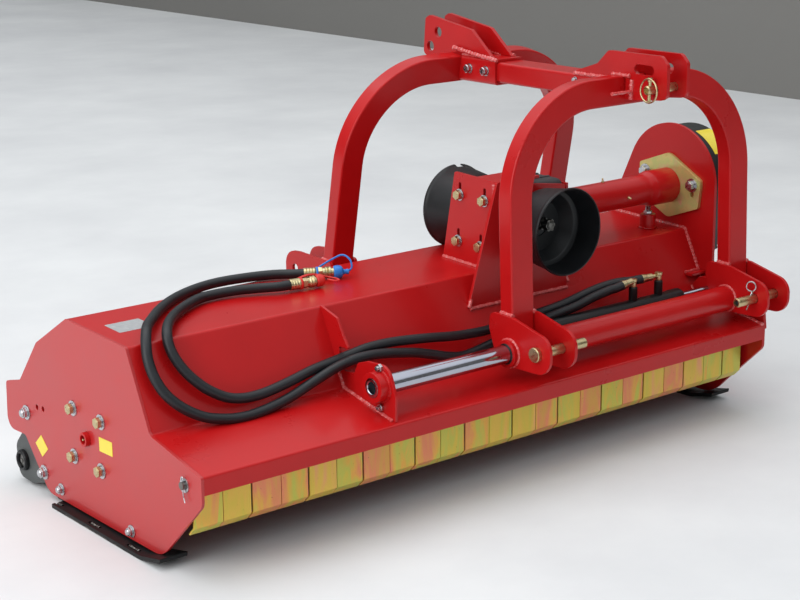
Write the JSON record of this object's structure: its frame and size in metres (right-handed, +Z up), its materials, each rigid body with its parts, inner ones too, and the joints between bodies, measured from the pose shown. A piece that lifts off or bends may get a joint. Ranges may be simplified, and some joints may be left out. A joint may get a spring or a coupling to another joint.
{
  "type": "tractor mulcher",
  "caption": "Wide flail mulcher for a tractor linkage, with an arched side-shift headstock, hanging front flaps, hammer rotor, rear roller and skids.",
  "frame": {"origin": "middle of the footprint on the ground, under the skids", "axes": "+Z up, +X towards the belt side along the rotor, +Y from the front flaps to the roller"},
  "size_m": [2.135, 1.202, 1.1704],
  "materials": {
    "red_paint": "satin",
    "black_paint": "satin",
    "grey_paint": "matte",
    "chrome": "polished",
    "zinc": "satin",
    "yellow_zinc": "satin",
    "bare_steel": "satin",
    "rubber": "matte",
    "plastic": "satin",
    "red_cap": "satin",
    "blue_cap": "satin"
  },
  "bodies": {
    "mulcher": {"hood_shell": "red_paint", "side_plate_left": "red_paint", "side_plate_right": "red_paint", "flap_rod": "bare_steel", "skid_left": "black_paint", "skid_right": "black_paint", "roller_arm_left": "grey_paint", "roller_arm_right": "grey_paint", "bearing_housing_left": "black_paint", "bearing_housing_right": "black_paint", "slide_rod_front": "chrome", "slide_rod_rear": "chrome", "rod_bracket_front_left": "red_paint", "rod_bracket_rear_left": "red_paint", "cylinder_rod": "chrome", "cylinder_lug": "red_paint", "gearbox_bracket": "red_paint", "gearbox": "grey_paint", "output_housing": "red_paint", "housing_flange": "yellow_zinc", "belt_tension_jack": "red_paint", "belt_cover": "black_paint", "drive_belt": "rubber", "input_guard_front": "plastic", "input_guard_rear": "plastic", "hose_a": "rubber", "hose_b": "rubber", "coupler_a": "blue_cap", "coupler_b": "red_cap"},
    "headstock": {"carriage_front": "red_paint", "carriage_rear": "red_paint", "front_arch": "red_paint", "rear_arch": "red_paint", "centre_tube": "red_paint", "top_clevis_front": "red_paint", "top_clevis_rear": "red_paint", "hitch_pin_front_left": "zinc", "hitch_pin_front_right": "zinc", "top_link_pin": "zinc", "cylinder_barrel": "black_paint"},
    "rotor": {"rotor": "black_paint", "rotor_pulley": "bare_steel"},
    "drive": {"drive_shaft": "bare_steel"},
    "input": {"input_shaft": "bare_steel"},
    "roller": {"roller": "black_paint"},
    "hammers_a": {"hammer_row_a": "bare_steel"},
    "hammers_b": {"hammer_row_b": "bare_steel"},
    "hammers_c": {"hammer_row_c": "bare_steel"},
    "flap_01": {"flap_01": "yellow_zinc"},
    "flap_02": {"flap_02": "yellow_zinc"},
    "flap_03": {"flap_03": "yellow_zinc"},
    "flap_04": {"flap_04": "yellow_zinc"},
    "flap_05": {"flap_05": "yellow_zinc"},
    "flap_06": {"flap_06": "yellow_zinc"},
    "flap_07": {"flap_07": "yellow_zinc"},
    "flap_08": {"flap_08": "yellow_zinc"},
    "flap_09": {"flap_09": "yellow_zinc"},
    "flap_10": {"flap_10": "yellow_zinc"},
    "flap_11": {"flap_11": "yellow_zinc"},
    "flap_12": {"flap_12": "yellow_zinc"}
  },
  "joints": [
    {"name": "headstock_shift", "type": "slide", "parent": "mulcher", "child": "headstock", "axis": [1, 0, 0], "range_m": [-0.38, 0], "deforming": ["hose_a", "hose_b"]},
    {"name": "rotor_spin", "type": "hinge", "parent": "mulcher", "child": "rotor", "pos_m": [-0.0375, 0.0375, 0.23], "axis": [1, 0, 0], "continuous": true},
    {"name": "drive_spin", "type": "hinge", "parent": "mulcher", "child": "drive", "pos_m": [-0.0375, -0.1135, 0.65], "axis": [1, 0, 0], "continuous": true},
    {"name": "input_spin", "type": "hinge", "parent": "mulcher", "child": "input", "pos_m": [0.2725, -0.1125, 0.65], "axis": [0, 1, 0], "continuous": true},
    {"name": "roller_spin", "type": "hinge", "parent": "mulcher", "child": "roller", "pos_m": [-0.0375, 0.4175, 0.065], "axis": [1, 0, 0], "continuous": true},
    {"name": "hammers_a_swing", "type": "hinge", "parent": "rotor", "child": "hammers_a", "pos_m": [-0.0375, 0.0375, 0.138], "axis": [1, 0, 0], "range_deg": [-125, 125]},
    {"name": "hammers_b_swing", "type": "hinge", "parent": "rotor", "child": "hammers_b", "pos_m": [-0.0375, 0.11717, 0.276], "axis": [1, 0, 0], "range_deg": [-5, 245]},
    {"name": "hammers_c_swing", "type": "hinge", "parent": "rotor", "child": "hammers_c", "pos_m": [-0.0375, -0.04217, 0.276], "axis": [1, 0, 0], "range_deg": [-245, 5]},
    {"name": "flap_01_swing", "type": "hinge", "parent": "mulcher", "child": "flap_01", "pos_m": [-0.9367, -0.4325, 0.242], "axis": [1, 0, 0], "range_deg": [-60, 70]},
    {"name": "flap_02_swing", "type": "hinge", "parent": "mulcher", "child": "flap_02", "pos_m": [-0.7661, -0.4325, 0.242], "axis": [1, 0, 0], "range_deg": [-60, 70]},
    {"name": "flap_03_swing", "type": "hinge", "parent": "mulcher", "child": "flap_03", "pos_m": [-0.5955, -0.4325, 0.242], "axis": [1, 0, 0], "range_deg": [-60, 70]},
    {"name": "flap_04_swing", "type": "hinge", "parent": "mulcher", "child": "flap_04", "pos_m": [-0.4249, -0.4325, 0.242], "axis": [1, 0, 0], "range_deg": [-60, 70]},
    {"name": "flap_05_swing", "type": "hinge", "parent": "mulcher", "child": "flap_05", "pos_m": [-0.2543, -0.4325, 0.242], "axis": [1, 0, 0], "range_deg": [-60, 70]},
    {"name": "flap_06_swing", "type": "hinge", "parent": "mulcher", "child": "flap_06", "pos_m": [-0.0837, -0.4325, 0.242], "axis": [1, 0, 0], "range_deg": [-60, 70]},
    {"name": "flap_07_swing", "type": "hinge", "parent": "mulcher", "child": "flap_07", "pos_m": [0.0869, -0.4325, 0.242], "axis": [1, 0, 0], "range_deg": [-60, 70]},
    {"name": "flap_08_swing", "type": "hinge", "parent": "mulcher", "child": "flap_08", "pos_m": [0.2575, -0.4325, 0.242], "axis": [1, 0, 0], "range_deg": [-60, 70]},
    {"name": "flap_09_swing", "type": "hinge", "parent": "mulcher", "child": "flap_09", "pos_m": [0.4281, -0.4325, 0.242], "axis": [1, 0, 0], "range_deg": [-60, 70]},
    {"name": "flap_10_swing", "type": "hinge", "parent": "mulcher", "child": "flap_10", "pos_m": [0.5987, -0.4325, 0.242], "axis": [1, 0, 0], "range_deg": [-60, 70]},
    {"name": "flap_11_swing", "type": "hinge", "parent": "mulcher", "child": "flap_11", "pos_m": [0.7693, -0.4325, 0.242], "axis": [1, 0, 0], "range_deg": [-60, 70]},
    {"name": "flap_12_swing", "type": "hinge", "parent": "mulcher", "child": "flap_12", "pos_m": [0.89725, -0.4325, 0.242], "axis": [1, 0, 0], "range_deg": [-60, 70]}
  ],
  "couplings": [
    {"joint": "drive_spin", "follows": "rotor_spin", "ratio": 0.84615},
    {"joint": "input_spin", "follows": "rotor_spin", "ratio": 0.28205}
  ]
}
